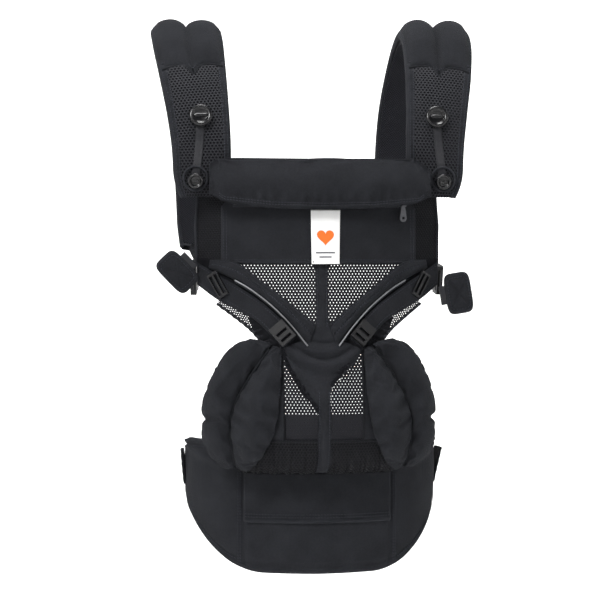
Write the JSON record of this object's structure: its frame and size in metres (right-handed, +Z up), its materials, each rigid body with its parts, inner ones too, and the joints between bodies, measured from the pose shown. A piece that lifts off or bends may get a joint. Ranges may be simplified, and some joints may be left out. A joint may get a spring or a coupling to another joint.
{
  "type": "soft baby carrier",
  "caption": "Structured fabric baby carrier with bucket seat, mesh windows, padded waistbelt, shoulder straps, fold-down head pillow and side release buckles.",
  "frame": {"origin": "middle of the waist opening, at the height of the belt webbing's middle", "axes": "+Z up along the wearer, +X to the right when the front is looked at, front faces -Y"},
  "size_m": [0.3802, 0.2844, 0.6456],
  "materials": {
    "canvas": "woven cotton canvas, charcoal black, matt",
    "canvas_soft": "padded cotton canvas, charcoal black, matt",
    "air_mesh": "open spacer mesh, black",
    "webbing": "woven polyester webbing, black, slight sheen",
    "foam": "soft foam, dark grey",
    "piping": "reflective silver piping",
    "buckle_plastic": "moulded acetal, black, satin gloss",
    "knob_plastic": "moulded knob, black, gloss",
    "label_white": "satin woven label, white",
    "zip_metal": "grey enamelled zinc",
    "zip_tape": "coil zip on black tape"
  },
  "bodies": {
    "carrier": {"upper_panel": "canvas", "panel_gusset_left": "air_mesh", "panel_gusset_right": "air_mesh", "upper_mesh_left": "air_mesh", "upper_mesh_right": "air_mesh", "centre_band": "canvas", "label": "label_white", "yoke_pad_left": "canvas_soft", "yoke_pad_right": "canvas_soft", "yoke_piping": "piping", "adjuster_band_left": "webbing", "adjuster_band_right": "webbing", "band_slider": "buckle_plastic", "side_mesh": "air_mesh", "seat_base": "canvas", "seat_side": "canvas", "seat_mesh_left": "air_mesh", "seat_mesh_right": "air_mesh", "wing_outer_left": "canvas_soft", "wing_outer_right": "canvas_soft", "wing_inner_left": "canvas_soft", "wing_inner_right": "canvas_soft", "belt_cover": "canvas", "belt_foam": "foam", "belt_flap": "canvas", "waist_webbing": "webbing", "waist_socket": "buckle_plastic", "strap_cover_left": "canvas_soft", "strap_cover_right": "canvas_soft", "strap_foam": "foam", "strap_lining": "air_mesh", "strap_tape": "webbing", "upper_knob": "knob_plastic", "lower_knob": "knob_plastic", "side_webbing": "webbing", "side_socket": "buckle_plastic", "zip_tape": "zip_tape"},
    "head_pillow": {"head_pillow": "canvas_soft", "pillow_loop": "webbing"},
    "zip_slider": {"zip_slider": "zip_metal"},
    "zip_pull": {"zip_pull": "zip_metal"},
    "side_plug_left": {"side_plug_left": "buckle_plastic"},
    "prong_top_left": {"prong_top_left": "buckle_plastic"},
    "prong_bottom_left": {"prong_bottom_left": "buckle_plastic"},
    "side_plug_right": {"side_plug_right": "buckle_plastic"},
    "prong_top_right": {"prong_top_right": "buckle_plastic"},
    "prong_bottom_right": {"prong_bottom_right": "buckle_plastic"},
    "waist_plug": {"waist_plug": "buckle_plastic"},
    "waist_prong_bottom": {"waist_prong_bottom": "buckle_plastic"},
    "waist_prong_top": {"waist_prong_top": "buckle_plastic"},
    "chest_strap": {"chest_webbing": "webbing", "chest_socket": "buckle_plastic"},
    "chest_plug": {"chest_plug": "buckle_plastic"},
    "chest_prong_bottom": {"chest_prong_bottom": "buckle_plastic"},
    "chest_prong_top": {"chest_prong_top": "buckle_plastic"},
    "seat_adjuster_left": {"seat_adjuster_left": "buckle_plastic"},
    "seat_adjuster_right": {"seat_adjuster_right": "buckle_plastic"},
    "buckle_pad_left": {"buckle_pad_left": "canvas_soft"},
    "buckle_pad_right": {"buckle_pad_right": "canvas_soft"}
  },
  "joints": [
    {"name": "head_pillow_flip", "type": "hinge", "parent": "carrier", "child": "head_pillow", "pos_m": [0, -0.134, 0.366], "axis": [-1, 0, 0], "range_deg": [0, 130]},
    {"name": "zip_slider_run", "type": "hinge", "parent": "carrier", "child": "zip_slider", "pos_m": [0, 0.1133, 0.315], "axis": [0, 0, 1], "range_deg": [-45, 0]},
    {"name": "zip_pull_swing", "type": "hinge", "parent": "zip_slider", "child": "zip_pull", "pos_m": [0.097, -0.1191, 0.3135], "axis": [-0.9272, -0.3746, 0], "range_deg": [0, 20]},
    {"name": "side_plug_left_slide", "type": "slide", "parent": "carrier", "child": "side_plug_left", "axis": [0.1197, 0.9745, 0.19], "range_m": [0, 0.026]},
    {"name": "prong_top_left_press", "type": "hinge", "parent": "side_plug_left", "child": "prong_top_left", "pos_m": [-0.14101, -0.05808, 0.244], "axis": [0.9925, -0.1219, 0], "range_deg": [0, 6], "stiffness_Nm_per_rad": 0.4},
    {"name": "prong_bottom_left_press", "type": "hinge", "parent": "side_plug_left", "child": "prong_bottom_left", "pos_m": [-0.14046, -0.05363, 0.22083], "axis": [0.9925, -0.1219, 0], "range_deg": [-6, 0], "stiffness_Nm_per_rad": 0.4},
    {"name": "side_plug_right_slide", "type": "slide", "parent": "carrier", "child": "side_plug_right", "axis": [-0.1197, 0.9745, 0.19], "range_m": [0, 0.026]},
    {"name": "prong_top_right_press", "type": "hinge", "parent": "side_plug_right", "child": "prong_top_right", "pos_m": [0.14101, -0.05808, 0.244], "axis": [0.9925, 0.1219, 0], "range_deg": [0, 6], "stiffness_Nm_per_rad": 0.4},
    {"name": "prong_bottom_right_press", "type": "hinge", "parent": "side_plug_right", "child": "prong_bottom_right", "pos_m": [0.14046, -0.05363, 0.22083], "axis": [0.9925, 0.1219, 0], "range_deg": [-6, 0], "stiffness_Nm_per_rad": 0.4},
    {"name": "waist_plug_slide", "type": "slide", "parent": "carrier", "child": "waist_plug", "axis": [1, 0, 0], "range_m": [0, 0.026]},
    {"name": "waist_prong_bottom_press", "type": "hinge", "parent": "waist_plug", "child": "waist_prong_bottom", "pos_m": [0.0022, 0.104, -0.0183], "axis": [0, 1, 0], "range_deg": [0, 6], "stiffness_Nm_per_rad": 0.4},
    {"name": "waist_prong_top_press", "type": "hinge", "parent": "waist_plug", "child": "waist_prong_top", "pos_m": [0.0022, 0.104, 0.0183], "axis": [0, 1, 0], "range_deg": [-6, 0], "stiffness_Nm_per_rad": 0.4},
    {"name": "chest_strap_height", "type": "slide", "parent": "carrier", "child": "chest_strap", "axis": [0, 0, 1], "range_m": [-0.03, 0.035]},
    {"name": "chest_plug_slide", "type": "slide", "parent": "chest_strap", "child": "chest_plug", "axis": [1, 0, 0], "range_m": [0, 0.026]},
    {"name": "chest_prong_bottom_press", "type": "hinge", "parent": "chest_plug", "child": "chest_prong_bottom", "pos_m": [0.0022, 0.101, 0.3357], "axis": [0, 1, 0], "range_deg": [0, 6], "stiffness_Nm_per_rad": 0.4},
    {"name": "chest_prong_top_press", "type": "hinge", "parent": "chest_plug", "child": "chest_prong_top", "pos_m": [0.0022, 0.101, 0.3543], "axis": [0, 1, 0], "range_deg": [-6, 0], "stiffness_Nm_per_rad": 0.4},
    {"name": "seat_adjuster_left_slide", "type": "slide", "parent": "carrier", "child": "seat_adjuster_left", "axis": [-0.6322, 0.2544, 0.7319], "range_m": [-0.004, 0.012]},
    {"name": "seat_adjuster_right_slide", "type": "slide", "parent": "carrier", "child": "seat_adjuster_right", "axis": [0.6322, 0.2544, 0.7319], "range_m": [-0.004, 0.012]},
    {"name": "buckle_pad_left_swing", "type": "hinge", "parent": "carrier", "child": "buckle_pad_left", "pos_m": [-0.15213, -0.107, 0.24746], "axis": [0.6947, 0, -0.7193], "range_deg": [-60, 5]},
    {"name": "buckle_pad_right_swing", "type": "hinge", "parent": "carrier", "child": "buckle_pad_right", "pos_m": [0.1487, -0.104, 0.20842], "axis": [-0.1564, 0, 0.9877], "range_deg": [-60, 5]}
  ],
  "couplings": [
    {"joint": "prong_bottom_left_press", "follows": "prong_top_left_press", "ratio": -1},
    {"joint": "prong_bottom_right_press", "follows": "prong_top_right_press", "ratio": -1},
    {"joint": "waist_prong_top_press", "follows": "waist_prong_bottom_press", "ratio": -1},
    {"joint": "chest_prong_top_press", "follows": "chest_prong_bottom_press", "ratio": -1}
  ]
}
